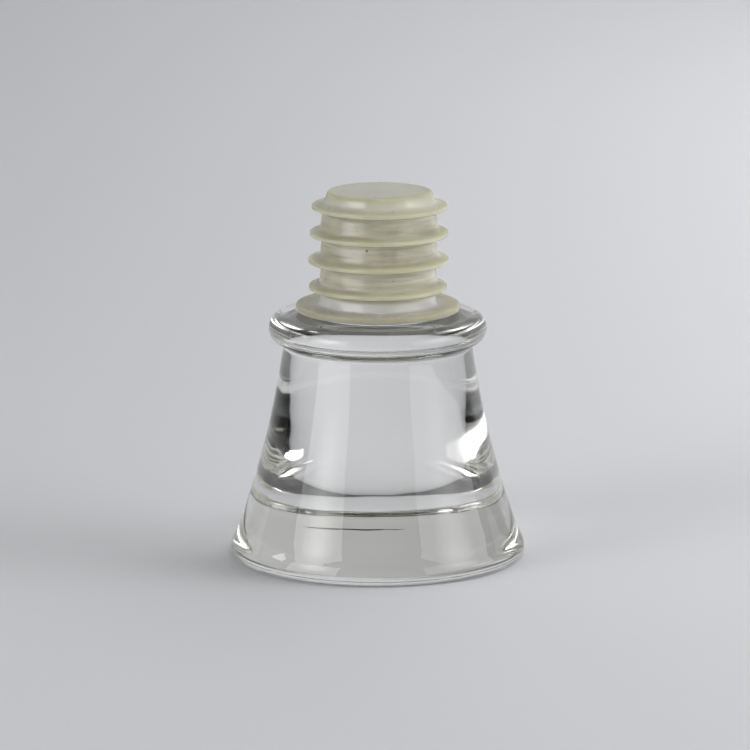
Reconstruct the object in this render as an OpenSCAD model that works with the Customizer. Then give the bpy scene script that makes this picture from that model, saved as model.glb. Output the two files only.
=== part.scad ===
// Clear pressed-glass bottle stopper with a push-on finned plug sleeve.
// It stands upside down on its broad flat head, with the plug pointing up.
// Every piece is turned about Z, and the flat base lies on z = 0.

/* [Glass head] */
// Height of the glass from its flat base to its upper face
glass_h = 37.8; // [33:0.1:46]
// Widest diameter of the flared foot
foot_d = 45; // [41:0.1:54]
// Radius of the rounded edge around the foot
foot_edge_r = 1.3; // [0.6:0.1:2.4]
// Diameter of the neck, where the flared wall runs in under the bead
neck_d = 28.9; // [26:0.1:30]
// Radius of the flared wall's inward sweep
wall_sweep_r = 150; // [100:1:400]
// Diameter of the rounded bead around the neck
bead_d = 33.5; // [32:0.1:38]
// Height of the bead
bead_h = 4.5; // [3.6:0.1:5.4]
// Radius of the fillet under the bead
bead_fillet_r = 0.7; // [0.3:0.1:1.2]
// Diameter of the low round seat that carries the sleeve's flange
seat_d = 20.8; // [18:0.1:24]
// Height of the seat above the glass's upper face
seat_h = 0.6; // [0.3:0.1:1.2]

/* [Glass peg] */
// Diameter of the peg where it leaves the seat
peg_d = 14.4; // [11:0.1:14.8]
// Length of the peg above the seat
peg_l = 15.6; // [10:0.1:16]
// Difference in diameter between the peg's root and its tip
peg_taper = 0.6; // [0.2:0.1:1.6]
// Radius of the rounded edge around the peg's tip
peg_edge_r = 0.9; // [0.3:0.1:2]

/* [Finned sleeve] */
// Length of the sleeve from under its flange to its closed end
sleeve_l = 18.4; // [17.6:0.1:22]
// Diameter of the flange
flange_d = 25.2; // [22:0.1:28]
// Thickness of the flange
flange_t = 0.95; // [0.7:0.05:1.4]
// Diameter of the core between the fins
core_d = 17.7; // [16.8:0.1:18.4]
// Diameter of the plain nose beyond the last fin
nose_d = 16.8; // [16.4:0.1:17.6]
// Radius of the rounded edge around the closed end
nose_edge_r = 1; // [0.4:0.1:1.4]
// Radial gap between the peg and the bore around it
bore_gap = 0.05; // [0.02:0.01:0.1]
// Gap between the peg's tip and the blind end of the bore
tip_gap = 0.5; // [0.2:0.1:1]

/* [Fins] */
// Number of fins
fin_count = 4; // [2:1:4]
// Diameter of the sealing fins
fin_d = 21.5; // [20:0.1:23]
// Diameter of the lead fin, nearest the closed end
lead_fin_d = 21; // [19.6:0.1:22]
// Height of the first fin's middle above the flange's underside
first_fin_z = 3.55; // [3.5:0.05:3.8]
// Distance from one fin to the next
fin_pitch = 4.15; // [3.6:0.05:4.2]
// Thickness of a fin at the core
fin_root_t = 1; // [0.8:0.05:1.2]
// Thickness of a fin at its rim
fin_rim_t = 0.6; // [0.4:0.05:0.8]

/* [Hidden] */

// Facets of the turned shapes, and of the wall's long shallow arc
turn_fn = 120;
arc_fn = 96;
sweep_fn = 720;

foot_r = foot_d / 2;
neck_r = neck_d / 2;
bead_r = bead_h / 2;
core_r = core_d / 2;
nose_r = nose_d / 2;
seat_r = seat_d / 2;
seat_z = glass_h + seat_h;
flange_top_z = seat_z + flange_t;
last_fin_z = first_fin_z + (fin_count - 1) * fin_pitch;

// Centre of the circle whose edge touches two others, where its centre lies
// ra from point a and rb from point b, to the right of the line from a to b
function meet(a, ra, b, rb) =
    let (ab = b - a, d = norm(ab), u = ab / d, s = (d * d + ra * ra - rb * rb) / (2 * d))
    a + s * u + sqrt(ra * ra - s * s) * [u.y, -u.x];

// The point on the way from a towards b, at distance r from a
function toward(a, b, r) = a + r * (b - a) / norm(b - a);

foot_edge = [foot_r - foot_edge_r, foot_edge_r];
bead_mid = [bead_d / 2 - bead_r, glass_h - bead_r];
neck = [neck_r, bead_mid.y - bead_r];
sweep_mid = meet(foot_edge, foot_edge_r + wall_sweep_r, neck, wall_sweep_r);
foot_touch = toward(foot_edge, sweep_mid, foot_edge_r);
fillet_mid = meet(bead_mid, bead_r + bead_fillet_r, sweep_mid, wall_sweep_r - bead_fillet_r);
fillet_touch = toward(fillet_mid, sweep_mid, -bead_fillet_r);

// Flared foot and wall, and the fillet that carries the wall out under the bead
module flared_outline() {
    square([foot_edge.x, foot_touch.y]);
    translate(foot_edge) circle(foot_edge_r, $fn = arc_fn);
    difference() {
        polygon([[0, foot_touch.y], foot_touch, fillet_mid, bead_mid, [0, bead_mid.y]]);
        intersection() {
            translate(sweep_mid) circle(wall_sweep_r, $fn = sweep_fn);
            square([foot_r, fillet_touch.y]);
        }
        translate(fillet_mid) circle(bead_fillet_r, $fn = arc_fn);
    }
}

// Rounded bead, flat on top out to the middle of its round
module bead_outline() {
    translate([0, bead_mid.y]) square([bead_mid.x, bead_r]);
    translate(bead_mid) circle(bead_r, $fn = arc_fn);
}

// Tapered peg with a rounded tip, grown by gap on its side and end_gap at its tip
module peg_outline(gap, end_gap) {
    root_r = peg_d / 2 + gap;
    tip_r = root_r - peg_taper / 2;
    tip_z = seat_z + peg_l + end_gap;
    polygon([[0, seat_z], [root_r, seat_z], [tip_r, tip_z - peg_edge_r], [0, tip_z - peg_edge_r]]);
    square_z = tip_z - peg_edge_r;
    translate([0, square_z - peg_edge_r]) square([tip_r - peg_edge_r, 2 * peg_edge_r]);
    translate([tip_r - peg_edge_r, square_z]) circle(peg_edge_r, $fn = arc_fn);
}

// One solid of pressed glass: flared head, bead, seat and peg
module glass_head() {
    color([0.86, 0.89, 0.89, 0.45])
    rotate_extrude($fn = turn_fn) {
        flared_outline();
        bead_outline();
        translate([0, glass_h - bead_r]) square([seat_r, bead_r + seat_h]);
        peg_outline(0, 0);
    }
}

// One fin, thinner at its rim, centred on height z above the flange's underside
module fin_outline(z, rim_r) {
    translate([0, seat_z + z])
        polygon([[0, -fin_root_t / 2], [core_r, -fin_root_t / 2], [rim_r, -fin_rim_t / 2],
            [rim_r, fin_rim_t / 2], [core_r, fin_root_t / 2], [0, fin_root_t / 2]]);
}

// One soft moulding: flange, tube, fins and closed nose around a blind tapered bore
module finned_sleeve() {
    color([0.86, 0.84, 0.68])
    rotate_extrude($fn = turn_fn) difference() {
        union() {
            translate([0, seat_z]) square([flange_d / 2, flange_t]);
            translate([0, seat_z]) square([core_r, last_fin_z]);
            translate([0, seat_z]) square([nose_r, sleeve_l - nose_edge_r]);
            translate([0, seat_z]) square([nose_r - nose_edge_r, sleeve_l]);
            translate([nose_r - nose_edge_r, seat_z + sleeve_l - nose_edge_r])
                circle(nose_edge_r, $fn = arc_fn);
            for (i = [0 : fin_count - 1])
                fin_outline(first_fin_z + i * fin_pitch,
                    (i == fin_count - 1 ? lead_fin_d : fin_d) / 2);
        }
        peg_outline(bore_gap, tip_gap);
    }
}

glass_head();
finned_sleeve();
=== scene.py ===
import math

import bpy
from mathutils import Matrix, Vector, noise


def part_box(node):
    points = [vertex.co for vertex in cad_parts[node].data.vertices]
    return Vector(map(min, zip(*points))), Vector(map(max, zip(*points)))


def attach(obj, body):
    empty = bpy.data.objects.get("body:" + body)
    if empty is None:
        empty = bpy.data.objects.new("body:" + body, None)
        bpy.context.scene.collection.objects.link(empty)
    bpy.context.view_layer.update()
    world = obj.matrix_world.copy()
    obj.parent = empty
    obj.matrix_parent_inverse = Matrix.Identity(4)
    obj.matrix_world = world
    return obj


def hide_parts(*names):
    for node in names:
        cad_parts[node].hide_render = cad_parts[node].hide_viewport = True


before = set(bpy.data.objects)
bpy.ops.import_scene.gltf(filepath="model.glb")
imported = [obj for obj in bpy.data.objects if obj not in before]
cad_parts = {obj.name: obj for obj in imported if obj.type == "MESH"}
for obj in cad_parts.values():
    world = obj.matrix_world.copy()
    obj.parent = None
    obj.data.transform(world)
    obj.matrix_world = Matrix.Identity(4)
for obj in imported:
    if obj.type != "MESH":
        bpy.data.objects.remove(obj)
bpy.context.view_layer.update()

MM = 0.001

# ---------------------------------------------------------------- sizes from the parts in model.glb, in mm
head_low, head_high = (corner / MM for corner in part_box("glass_head"))
sleeve_low, sleeve_high = (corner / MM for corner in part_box("finned_sleeve"))

BASE_Z = head_low.z
FOOT_R = head_high.x
PEG_TIP_Z = head_high.z
SEAT_Z = sleeve_low.z
NOSE_Z = sleeve_high.z
FLANGE_R = sleeve_high.x

# ---------------------------------------------------------------- glass sizes, in mm
FOOT_EDGE_R = 1.3       # rounded edge around the foot
HEEL_TILT = math.radians(5)         # where the heel's wide round runs into the foot's edge
FLARE_TILT = math.radians(28.2)     # where the wall lies flattest, just above the heel
FLARE_R = 17.0          # outward flare of the wall above the heel
FLARE_Z = 5.5           # height at which the flare starts
NECK_R = 14.45          # where the flared wall runs in under the bead
SWEEP_R = 150.0         # inward sweep of the flared wall
BEAD_R = 16.75          # widest point of the bead
BEAD_ROUND_R = 2.25     # half the bead's height
FILLET_R = 0.7          # fillet under the bead
SEAT_H = 0.6            # low round seat under the flange
SEAT_R = 10.4
PEG_ROOT_R = 7.2
PEG_TIP_R = 6.9
PEG_EDGE_R = 0.9
WAVE_H = 0.05           # height of the slow waves in the pressed wall
WAVE_LENGTH = 9.0
RIPPLE_H = 0.012        # finer ripples on top of them
RIPPLE_LENGTH = 3.6
WAVE_SEED = Vector((3.1, 7.7, 1.9))

# ---------------------------------------------------------------- sleeve sizes, in mm
FLANGE_T = 0.95
CORE_R = 8.75
GROOVE_DRAFT = 0.3      # each groove's wall is this much wider at its lower end
SHOULDER_R = 8.45       # plain nose beyond the last fin
NOSE_R = 8.1
NOSE_EDGE_R = 0.75
FIN_Z = [3.55, 7.7, 11.85, 16.0]        # fin middles above the flange's underside
FIN_R = [10.6, 10.8, 10.65, 10.4]
FIN_ROOT_T = 1.5
FIN_RIM_T = 0.55
FIN_FILLET_R = 0.6
BORE_GAP = 0.05         # air between the peg and the bore
TIP_GAP = 0.5
LEAN = 0.019            # sideways lean of the soft sleeve, per mm of height

# heights of the sleeve's bands of painted light and shade above the flange's underside, where each starts
# and is full: painted shade on the flange, painted light on the low wall, a painted highlight on the nose
FLANGE_PAINTED_SHADE = (1.4, 1.0)
LOW_WALL_PAINTED_LIGHT = (2.9, 2.2)
NOSE_PAINTED_HIGHLIGHT = (FIN_Z[-1] + 0.2, FIN_Z[-1] + 1)
FIN_TINT = (CORE_R + 0.5, max(FIN_R))       # radii
NOSE_TOP_TINT = (5.8, NOSE_R - 0.4)         # radii
NOSE_EDGE_TINT = (1.1, 0.4)                 # depths below the nose's end


# ---------------------------------------------------------------- outlines
def meet(a, ra, b, rb):
    """Point ra from a and rb from b, to the right of the line from a to b."""
    ab = b - a
    u = ab.normalized()
    s = (ab.length_squared + ra * ra - rb * rb) / (2 * ab.length)
    return a + s * u + math.sqrt(ra * ra - s * s) * Vector((u.y, -u.x))


def angle_of(centre, point):
    return math.atan2(point.y - centre.y, point.x - centre.x)


def arc(centre, radius, start, end, count):
    """Points along an arc from angle start to angle end, by the shorter way round."""
    turn = (end - start + math.pi) % (2 * math.pi) - math.pi
    angles = [start + turn * i / count for i in range(count + 1)]
    return [centre + radius * Vector((math.cos(a), math.sin(a))) for a in angles]


def line(a, b, count):
    """Points from a to b, without a itself."""
    return [a.lerp(b, (i + 1) / count) for i in range(count)]


def rounded(corners, steps=5):
    """Outline through corners (r, z, edge radius), each corner rounded by a tangent arc."""
    points = [Vector(c[:2]) for c in corners]
    out = [points[0]]
    for i in range(1, len(corners) - 1):
        here, radius = points[i], corners[i][2]
        back = (points[i - 1] - here).normalized()
        ahead = (points[i + 1] - here).normalized()
        half = back.angle(ahead) / 2
        if radius <= 0 or half > math.radians(89):
            out.append(here)
            continue
        cut = radius / math.tan(half)
        centre = here + (back + ahead).normalized() * radius / math.sin(half)
        start, end = here + back * cut, here + ahead * cut
        out += arc(centre, radius, angle_of(centre, start), angle_of(centre, end), steps)
    return out + [points[-1]]


def refined(points, longest):
    """The same outline with no step longer than longest."""
    out = [points[0]]
    for a, b in zip(points, points[1:]):
        out += line(a, b, max(1, math.ceil((b - a).length / longest)))
    return out


def direction(angle):
    return Vector((math.cos(angle), math.sin(angle)))


def glass_outline():
    """The glass head from the middle of its base, up the wall, to the peg's tip."""
    foot = Vector((FOOT_R - FOOT_EDGE_R, BASE_Z + FOOT_EDGE_R))
    top_z = SEAT_Z - SEAT_H
    bead = Vector((BEAD_R - BEAD_ROUND_R, top_z - BEAD_ROUND_R))
    neck = Vector((NECK_R, bead.y - BEAD_ROUND_R))
    sweep = meet(foot, FOOT_EDGE_R + SWEEP_R, neck, SWEEP_R)
    fillet = meet(bead, BEAD_ROUND_R + FILLET_R, sweep, SWEEP_R - FILLET_R)

    start = math.asin((sweep.y - FLARE_Z) / SWEEP_R)
    flare = sweep + (FLARE_R - SWEEP_R) * direction(start)
    end = flare - FLARE_R * direction(FLARE_TILT)
    heel_r = end.y - BASE_Z - FOOT_EDGE_R * (1 + math.sin(HEEL_TILT))
    heel_r /= math.sin(FLARE_TILT) - math.sin(HEEL_TILT)
    heel = end - heel_r * direction(FLARE_TILT)
    edge = heel + (heel_r - FOOT_EDGE_R) * direction(HEEL_TILT)

    half_pi = math.pi / 2
    out = [Vector((0, BASE_Z))]
    out += line(out[0], Vector((edge.x, BASE_Z)), 24)[:-1]
    out += arc(edge, FOOT_EDGE_R, -half_pi, HEEL_TILT, 16)
    out += arc(heel, heel_r, HEEL_TILT, FLARE_TILT, 12)[1:]
    out += arc(flare, FLARE_R, math.pi + FLARE_TILT, math.pi + start, 16)[1:]
    out += arc(sweep, SWEEP_R, math.pi + start, angle_of(sweep, fillet), 72)[1:]
    out += arc(fillet, FILLET_R, angle_of(sweep, fillet), angle_of(fillet, bead), 8)[1:]
    out += arc(bead, BEAD_ROUND_R, angle_of(bead, fillet), half_pi, 32)[1:]
    top = rounded([
        (bead.x, top_z, 0), (SEAT_R, top_z, 0.15), (SEAT_R, SEAT_Z, 0.15),
        (PEG_ROOT_R, SEAT_Z, 0.2), (PEG_TIP_R, PEG_TIP_Z, PEG_EDGE_R), (0, PEG_TIP_Z, 0)])
    return out + refined(top, 0.8)[1:]


def sleeve_outline():
    """The sleeve from the bore's mouth, out around flange, fins and nose, and back down the bore."""
    corners = [(PEG_ROOT_R + BORE_GAP, SEAT_Z, 0), (FLANGE_R, SEAT_Z, 0.2),
               (FLANGE_R, SEAT_Z + FLANGE_T, 0.35), (CORE_R + GROOVE_DRAFT, SEAT_Z + FLANGE_T, 0.35)]
    for height, rim in zip(FIN_Z, FIN_R):
        z = SEAT_Z + height
        above = SHOULDER_R if height == FIN_Z[-1] else CORE_R + GROOVE_DRAFT
        corners += [(CORE_R, z - FIN_ROOT_T / 2, FIN_FILLET_R), (rim, z - FIN_RIM_T / 2, 0.26),
                    (rim, z + FIN_RIM_T / 2, 0.26), (above, z + FIN_ROOT_T / 2, FIN_FILLET_R)]
    corners += [(NOSE_R, NOSE_Z, NOSE_EDGE_R), (0, NOSE_Z, 0)]
    bore_end = PEG_TIP_Z + TIP_GAP
    outer = refined(rounded(corners), 0.5)
    inner = refined(rounded([
        (0, bore_end, 0), (PEG_TIP_R + BORE_GAP, bore_end, PEG_EDGE_R),
        (PEG_ROOT_R + BORE_GAP, SEAT_Z, 0)]), 0.8)
    return outer + inner[:-1]


# ---------------------------------------------------------------- meshes
def lathe(name, outline, around, shift, closed=False):
    """Turns an outline about Z into a closed mesh. shift(point) says how far a point moves, in mm."""
    verts, faces, rings = [], [], []
    for p in outline:
        count = 1 if p.x < 1e-6 else around
        rings.append(list(range(len(verts), len(verts) + count)))
        for k in range(count):
            a = 2 * math.pi * k / around
            point = Vector((p.x * math.cos(a), p.x * math.sin(a), p.y))
            verts.append((point + shift(point)) * MM)
    pairs = list(zip(rings, rings[1:] + rings[:1])) if closed else list(zip(rings, rings[1:]))
    for low, high in pairs:
        if len(low) == 1 and len(high) == 1:
            continue
        for k in range(around):
            n = (k + 1) % around
            if len(low) == 1:
                faces.append((low[0], high[n], high[k]))
            elif len(high) == 1:
                faces.append((low[k], low[n], high[0]))
            else:
                faces.append((low[k], low[n], high[n], high[k]))
    mesh = bpy.data.meshes.new(name)
    mesh.from_pydata(verts, [], faces)
    mesh.validate()
    mesh.shade_smooth()
    mesh.set_sharp_from_angle(angle=math.radians(40))
    piece = bpy.data.objects.new(name, mesh)
    bpy.context.scene.collection.objects.link(piece)
    return piece


def pressed_waves(point):
    """Slow waves left in the pressed glass wall; the base, seat and peg stay true."""
    top_z = SEAT_Z - SEAT_H
    if point.z <= BASE_Z or point.z >= top_z - 0.01:
        return Vector((0, 0, 0))
    rise = min(1, (point.z - BASE_Z) / 4) * min(1, (top_z - point.z) / 2)
    wave = WAVE_H * noise.noise(point / WAVE_LENGTH + WAVE_SEED)
    ripple = RIPPLE_H * noise.noise(point / RIPPLE_LENGTH + WAVE_SEED)
    outward = Vector((point.x, point.y, 0)).normalized()
    return (wave + ripple) * rise * outward


def soft_lean(point):
    """The sleeve's outside leans a little to one side; its bore stays on the peg."""
    in_bore = point.xy.length < PEG_ROOT_R + 2 * BORE_GAP and point.z < PEG_TIP_Z + 2 * TIP_GAP
    if in_bore or point.z <= SEAT_Z + FLANGE_T:
        return Vector((0, 0, 0))
    return Vector((LEAN * (point.z - SEAT_Z - FLANGE_T), 0, 0))


# ---------------------------------------------------------------- materials
AROUND = (1, 1, 9)      # stretches noise into streaks that run round the sleeve
FINE_AROUND = (1, 1, 12)


def new_material(name):
    material = bpy.data.materials.new(name)
    material.use_nodes = True
    tree = material.node_tree
    return material, tree, tree.nodes["Principled BSDF"], tree.nodes["Material Output"]


def add(tree, kind, **values):
    node = tree.nodes.new(kind)
    for key, value in values.items():
        if key in node.inputs:
            node.inputs[key].default_value = value
        else:
            setattr(node, key, value)
    return node


def noise_ramp(tree, scale, detail, low, high, stretch=(1, 1, 1)):
    """Noise in the piece's own space (scale in 1/m), turned into a number from low to high."""
    place = add(tree, "ShaderNodeTexCoord")
    mapping = add(tree, "ShaderNodeMapping", Scale=stretch)
    tree.links.new(place.outputs["Object"], mapping.inputs["Vector"])
    cloud = add(tree, "ShaderNodeTexNoise", Scale=scale, Detail=detail)
    tree.links.new(mapping.outputs[0], cloud.inputs["Vector"])
    ramp = add(tree, "ShaderNodeMapRange")
    ramp.inputs["From Min"].default_value = 0.3
    ramp.inputs["From Max"].default_value = 0.7
    ramp.inputs["To Min"].default_value = low
    ramp.inputs["To Max"].default_value = high
    tree.links.new(cloud.outputs["Fac"], ramp.inputs["Value"])
    return ramp.outputs[0]


def tint_absorption(tree, output, colour, density):
    absorb = add(tree, "ShaderNodeVolumeAbsorption")
    absorb.inputs["Color"].default_value = (*colour, 1)
    absorb.inputs["Density"].default_value = density
    tree.links.new(absorb.outputs[0], output.inputs["Volume"])


def glass_material():
    material, tree, shader, output = new_material("clear_pressed_glass")
    shader.inputs["Base Color"].default_value = (1, 1, 1, 1)
    smudges = noise_ramp(tree, 120, 3, 0, 0.02)
    smudges.node.inputs["From Min"].default_value = 0.5
    tree.links.new(smudges, shader.inputs["Roughness"])
    shader.inputs["IOR"].default_value = 1.5
    shader.inputs["Transmission Weight"].default_value = 1
    tint_absorption(tree, output, (0.94, 0.94, 0.86), 6)
    return material


def smooth_step(tree, value, start, end, unit=MM):
    """0 where the value has not passed start, 1 beyond end."""
    ramp = add(tree, "ShaderNodeMapRange", interpolation_type="SMOOTHSTEP")
    ramp.inputs["From Min"].default_value = start * unit
    ramp.inputs["From Max"].default_value = end * unit
    tree.links.new(value, ramp.inputs["Value"])
    return ramp.outputs[0]


def blend_colour(tree, factor, low, high):
    """A mix of two colours, each a plain colour or a socket."""
    mix = add(tree, "ShaderNodeMix", data_type="RGBA")
    tree.links.new(factor, mix.inputs["Factor"])
    for name, colour in (("A", low), ("B", high)):
        socket = next(s for s in mix.inputs if s.name == name and s.type == "RGBA")
        if isinstance(colour, tuple):
            socket.default_value = (*colour, 1)
        else:
            tree.links.new(colour, socket)
    return next(s for s in mix.outputs if s.type == "RGBA")


def combined(tree, operation, a, b):
    """Two sockets joined by a Math node."""
    node = add(tree, "ShaderNodeMath", operation=operation)
    tree.links.new(a, node.inputs[0])
    tree.links.new(b, node.inputs[1])
    return node.outputs[0]


def height_and_radius(tree):
    """Sockets for a point's height and its distance from the axis, in metres."""
    place = add(tree, "ShaderNodeTexCoord")
    parts = add(tree, "ShaderNodeSeparateXYZ")
    tree.links.new(place.outputs["Object"], parts.inputs[0])
    flat = add(tree, "ShaderNodeVectorMath", operation="MULTIPLY")
    flat.inputs[1].default_value = (1, 1, 0)
    tree.links.new(place.outputs["Object"], flat.inputs[0])
    radius = add(tree, "ShaderNodeVectorMath", operation="LENGTH")
    tree.links.new(flat.outputs["Vector"], radius.inputs[0])
    return parts.outputs["Z"], radius.outputs["Value"]


def polymer_colour(tree):
    """Milky streaked walls with yellow-green rims and a few specks; painted light makes the wall paler low
    down, a painted highlight makes the nose paler, and painted shade darkens the flange.
    """
    height, radius = height_and_radius(tree)

    def band(limits):
        start, end = limits
        return smooth_step(tree, height, SEAT_Z + start, SEAT_Z + end)

    fin_rim = smooth_step(tree, radius, *FIN_TINT)
    nose_rim = combined(tree, "MULTIPLY", smooth_step(tree, radius, *NOSE_TOP_TINT),
                        smooth_step(tree, height, *(NOSE_Z - depth for depth in NOSE_EDGE_TINT)))
    rims = combined(tree, "MAXIMUM", fin_rim, nose_rim)

    streaks = noise_ramp(tree, 120, 4, 0, 1, AROUND)
    wall = blend_colour(tree, streaks, (0.57, 0.54, 0.40), (0.96, 0.94, 0.79))
    # painted light: the low wall just above the flange is made near white
    wall = blend_colour(tree, band(LOW_WALL_PAINTED_LIGHT), wall, (0.97, 0.96, 0.94))
    # painted highlight: the nose above the last fin is made paler
    wall = blend_colour(tree, band(NOSE_PAINTED_HIGHLIGHT), wall, (0.96, 0.96, 0.81))
    # painted shade: the flange's rim colour turns darker and browner
    rim = blend_colour(tree, band(FLANGE_PAINTED_SHADE), (0.87, 0.86, 0.57), (0.73, 0.68, 0.46))
    rim = blend_colour(tree, noise_ramp(tree, 200, 3, 0, 0.45), rim, (0.95, 0.94, 0.82))
    colour = blend_colour(tree, rims, wall, rim)

    specks = noise_ramp(tree, 1500, 0, 0, 1)
    specks.node.inputs["From Min"].default_value = 0.85
    specks.node.inputs["From Max"].default_value = 0.90
    return blend_colour(tree, specks, colour, (0.25, 0.22, 0.15))


def polymer_material():
    """Soft, hazy plastic: light scatters just under its skin and some passes through."""
    material, tree, shader, output = new_material("translucent_soft_polymer")
    tree.links.new(polymer_colour(tree), shader.inputs["Base Color"])
    shader.inputs["Specular IOR Level"].default_value = 0.8
    tree.links.new(noise_ramp(tree, 160, 3, 0.19, 0.25, FINE_AROUND), shader.inputs["Roughness"])
    shader.inputs["IOR"].default_value = 1.5
    shader.inputs["Transmission Weight"].default_value = 0.4
    shader.inputs["Subsurface Weight"].default_value = 1.0
    shader.inputs["Subsurface Radius"].default_value = (1, 0.95, 0.7)
    shader.inputs["Subsurface Scale"].default_value = 0.0015
    shader.subsurface_method = "BURLEY"
    bump = add(tree, "ShaderNodeBump", Strength=0.3, Distance=0.00001)
    tree.links.new(noise_ramp(tree, 160, 3, 0, 1, FINE_AROUND), bump.inputs["Height"])
    tree.links.new(bump.outputs[0], shader.inputs["Normal"])
    tint_absorption(tree, output, (0.85, 0.82, 0.45), 60)
    return material


def floor_material():
    material, tree, shader, output = new_material("pale_floor")
    shader.inputs["Base Color"].default_value = (0.775, 0.785, 0.812, 1)
    shader.inputs["Roughness"].default_value = 0.7
    shader.inputs["Specular IOR Level"].default_value = 0.2
    return material


def glow_material(name):
    """An emission material, with its tree and its strength socket."""
    material = bpy.data.materials.new(name)
    material.use_nodes = True
    tree = material.node_tree
    tree.nodes.clear()
    glow = add(tree, "ShaderNodeEmission")
    output = add(tree, "ShaderNodeOutputMaterial")
    tree.links.new(glow.outputs[0], output.inputs["Surface"])
    return material, tree, glow.inputs["Strength"]


def side_ramp(name, left, right, half_width):
    """A glow that runs from one strength at the panel's left to another at its right."""
    material, tree, strength = glow_material(name)
    place = add(tree, "ShaderNodeTexCoord")
    parts = add(tree, "ShaderNodeSeparateXYZ")
    tree.links.new(place.outputs["Object"], parts.inputs[0])
    ramp = add(tree, "ShaderNodeMapRange")
    ramp.inputs["From Min"].default_value = -half_width
    ramp.inputs["From Max"].default_value = half_width
    ramp.inputs["To Min"].default_value = left
    ramp.inputs["To Max"].default_value = right
    tree.links.new(parts.outputs["X"], ramp.inputs[0])
    tree.links.new(ramp.outputs[0], strength)
    return material


def hot_middle(name, edge, middle, height, reach):
    """A softbox's glow: strongest at a height above the panel's middle, fading over its reach."""
    material, tree, strength = glow_material(name)
    place = add(tree, "ShaderNodeTexCoord")
    away = add(tree, "ShaderNodeVectorMath", operation="DISTANCE")
    tree.links.new(place.outputs["Object"], away.inputs[0])
    away.inputs[1].default_value = (0, 0, height)
    ramp = add(tree, "ShaderNodeMapRange", interpolation_type="SMOOTHSTEP")
    ramp.inputs["From Min"].default_value = 0
    ramp.inputs["From Max"].default_value = reach
    ramp.inputs["To Min"].default_value = middle
    ramp.inputs["To Max"].default_value = edge
    tree.links.new(away.outputs["Value"], ramp.inputs[0])
    tree.links.new(ramp.outputs[0], strength)
    return material


# ---------------------------------------------------------------- studio
TARGET = Vector((0, 0, 0.028))
CAMERA_ELEVATION = math.radians(12)
CAMERA_DISTANCE = 0.8
CAMERA_LENS = 249.6             # mm, on a sensor 36 mm wide
CAMERA_SHIFT = -0.0037
GLASS_BOUNCES = 32              # light paths long enough for the thick glass


def make_camera():
    camera = bpy.data.cameras.new("camera")
    camera.sensor_width = 36
    camera.lens = CAMERA_LENS
    camera.shift_x = CAMERA_SHIFT
    camera.clip_start = 0.01
    rig = bpy.data.objects.new("camera", camera)
    bpy.context.scene.collection.objects.link(rig)
    reach = CAMERA_DISTANCE * Vector((0, -math.cos(CAMERA_ELEVATION), math.sin(CAMERA_ELEVATION)))
    rig.location = TARGET + reach
    rig.rotation_euler = (-reach).to_track_quat("-Z", "Y").to_euler()
    bpy.context.scene.camera = rig


def panel(name, centre, width, height, material):
    """An upright rectangle that faces the object, unseen by the camera itself."""
    w, h = width / 2, height / 2
    mesh = bpy.data.meshes.new(name)
    mesh.from_pydata([(-w, 0, -h), (w, 0, -h), (w, 0, h), (-w, 0, h)], [], [(0, 1, 2, 3)])
    mesh.materials.append(material)
    piece = bpy.data.objects.new(name, mesh)
    bpy.context.scene.collection.objects.link(piece)
    piece.location = centre
    piece.rotation_euler = (0, 0, math.atan2(-centre.x, centre.y))
    piece.visible_camera = False


def downlight(name, place, aim, size, spread, power):
    """A soft lamp that lights matt surfaces only, so the glass doesn't mirror it."""
    lamp = bpy.data.lights.new(name, "AREA")
    lamp.shape = "RECTANGLE"
    lamp.size, lamp.size_y = size
    lamp.spread = math.radians(spread)
    lamp.energy = power
    rig = bpy.data.objects.new(name, lamp)
    bpy.context.scene.collection.objects.link(rig)
    rig.location = place
    rig.rotation_euler = (Vector(aim) - Vector(place)).to_track_quat("-Z", "Y").to_euler()
    rig.visible_camera = False
    rig.visible_glossy = False
    rig.visible_transmission = False


def toward(azimuth, distance, height):
    """A point at a compass angle around the object: 0 is straight behind it, 90 is to its right."""
    a = math.radians(azimuth)
    return Vector((distance * math.sin(a), distance * math.cos(a), height))


FLOOR_DROP = -0.03 * MM         # just clear of the glass, so that its base still mirrors
FLOOR_FRONT, FLOOR_BACK, FLOOR_HALF = -1.6, 0.68, 2.5
CURL_R = 0.416                  # the paper curls up behind the floor
CURL_ANGLE = math.radians(50.3)
SLIT = 0.003                    # dark gap between the paper's top and the back panel
BACK_PANEL = (5.0, 0.8)         # width and height
BACK_GLOW = (0.36, 0.50)        # at 1 m to the left and to the right of its middle

# azimuth and half_angle in degrees, distance and heights in metres
SOFTBOXES = {
    "left_softbox": dict(azimuth=-126.7, half_angle=21.7, distance=0.7, low=0.01, high=0.51),
    "left_wing": dict(azimuth=-90, half_angle=6, distance=0.7, low=0.30, high=0.42),
    "right_softbox": dict(azimuth=111, half_angle=32, distance=0.62, low=0.05, high=0.43),
}
# strength far from and at the hot middle, the middle's height above the softbox's, and its reach
GLOWS = {
    "left_softbox": (2.2, 6.8, 0.05, 0.26),
    "left_wing": (4, 5, 0, 0.12),
    "right_softbox": (1.5, 4.6, 0.03, 0.26),
}
LAMPS = {
    "top_light": dict(place=(0.1, -0.05, 0.9), aim=(0, 0, 0), size=(0.6, 0.6), spread=180, power=1.4),
    "rear_wash": dict(place=(0.15, 0.75, 0.5), aim=(0.1, 0.72, 0), size=(1.8, 0.3), spread=180, power=3.1),
    "right_low": dict(place=(0.6, -0.05, 0.25), aim=(0, 0, 0), size=(0.3, 0.3), spread=180, power=0.9),
    "right_rear": dict(place=(0.3, 0.42, 0.45), aim=(0.3, 0.42, 0), size=(0.3, 0.3), spread=80, power=0.2),
    "right_front": dict(place=(0.3, 0.12, 0.45), aim=(0.3, 0.12, 0), size=(0.3, 0.3), spread=80, power=0.15),
}
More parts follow.
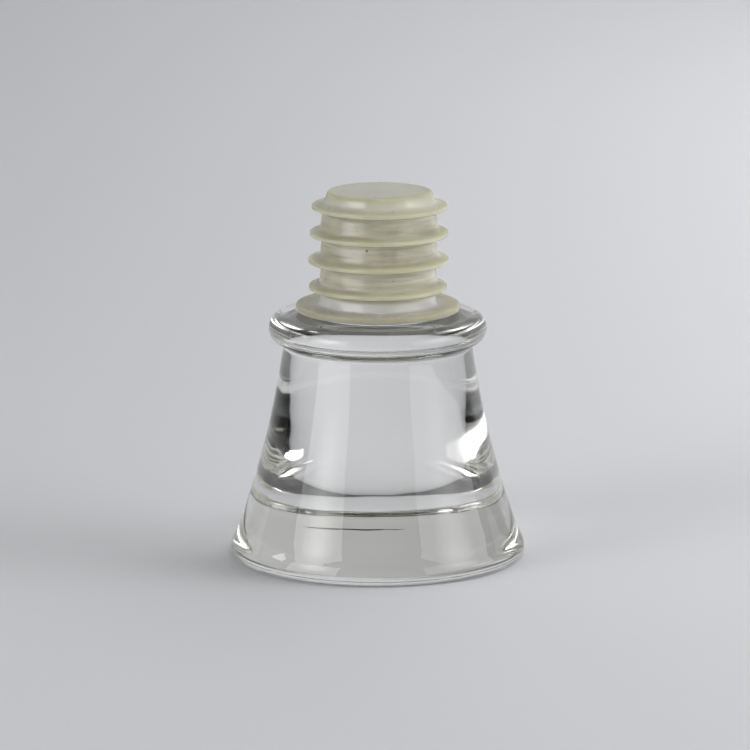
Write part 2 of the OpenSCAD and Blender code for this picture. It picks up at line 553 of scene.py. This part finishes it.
ROOM_BACKDROP = 0.6             # brightness behind the paper, as the camera sees it
ROOM_DARK, ROOM_LIT = 0.006, 0.2        # brightness as the glass sees it
ROOM_FRONT = (-0.8, -0.95)      # the lit part in front, by the Y of a unit direction
ROOM_TOP = (0.78, 0.88)         # the lit part overhead, by its Z


def make_paper():
    """The pale floor and the curl of paper behind it, as one sheet."""
    rows = [(FLOOR_FRONT, FLOOR_DROP)]
    steps = 24
    for i in range(steps + 1):
        a = CURL_ANGLE * i / steps
        rows.append((FLOOR_BACK + CURL_R * math.sin(a), FLOOR_DROP + CURL_R * (1 - math.cos(a))))
    verts = [(side * FLOOR_HALF, y, z) for y, z in rows for side in (-1, 1)]
    faces = [(2 * i, 2 * i + 1, 2 * i + 3, 2 * i + 2) for i in range(len(rows) - 1)]
    mesh = bpy.data.meshes.new("floor")
    mesh.from_pydata(verts, [], faces)
    mesh.shade_smooth()
    mesh.materials.append(floor_material())
    floor = bpy.data.objects.new("floor", mesh)
    bpy.context.scene.collection.objects.link(floor)
    return rows[-1]


def softbox(name, azimuth, half_angle, distance, low, high):
    """An upright glowing rectangle, half_angle degrees to either side of its azimuth."""
    width = 2 * distance * math.tan(math.radians(half_angle))
    panel(name, toward(azimuth, distance, (low + high) / 2), width, high - low,
          hot_middle(name, *GLOWS[name]))


def make_studio():
    back_y, paper_top = make_paper()
    for name, place in SOFTBOXES.items():
        softbox(name, **place)
    width, height = BACK_PANEL
    panel("back_panel", Vector((0, back_y, paper_top + SLIT + height / 2)), width, height,
          side_ramp("back_glow", *BACK_GLOW, 1.0))
    for name, lamp in LAMPS.items():
        downlight(name, **lamp)


def make_room():
    """The room beyond the stage. The glass sees it dark, except overhead and in front."""
    world = bpy.data.worlds.new("room")
    bpy.context.scene.world = world
    world.use_nodes = True
    world.cycles_visibility.diffuse = False
    tree = world.node_tree
    place = add(tree, "ShaderNodeTexCoord")
    parts = add(tree, "ShaderNodeSeparateXYZ")
    tree.links.new(place.outputs["Generated"], parts.inputs[0])
    front = smooth_step(tree, parts.outputs["Y"], *ROOM_FRONT, unit=1)
    overhead = smooth_step(tree, parts.outputs["Z"], *ROOM_TOP, unit=1)
    glass_sees = add(tree, "ShaderNodeMapRange")
    glass_sees.inputs["To Min"].default_value = ROOM_DARK
    glass_sees.inputs["To Max"].default_value = ROOM_LIT
    tree.links.new(combined(tree, "MAXIMUM", front, overhead), glass_sees.inputs["Value"])
    path = add(tree, "ShaderNodeLightPath")
    seen = add(tree, "ShaderNodeMapRange")
    seen.inputs["To Max"].default_value = ROOM_BACKDROP
    tree.links.new(path.outputs["Is Camera Ray"], seen.inputs["Value"])
    tree.links.new(glass_sees.outputs[0], seen.inputs["To Min"])
    backdrop = tree.nodes["Background"]
    tree.links.new(seen.outputs[0], backdrop.inputs["Strength"])
    backdrop.inputs["Color"].default_value = (1, 1, 1, 1)


def make_view_settings():
    scene = bpy.context.scene
    scene.view_settings.view_transform = "Standard"
    scene.cycles.max_bounces = GLASS_BOUNCES
    scene.cycles.glossy_bounces = GLASS_BOUNCES
    scene.cycles.transmission_bounces = GLASS_BOUNCES


# ---------------------------------------------------------------- build
make_camera()
make_studio()
make_room()
make_view_settings()

head = lathe("glass_stopper_head", glass_outline(), 256, pressed_waves)
head.data.materials.append(glass_material())
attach(head, "head")
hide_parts("glass_head")

sleeve = lathe("finned_plug_sleeve", sleeve_outline(), 192, soft_lean, closed=True)
sleeve.data.materials.append(polymer_material())
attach(sleeve, "sleeve")
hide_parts("finned_sleeve")
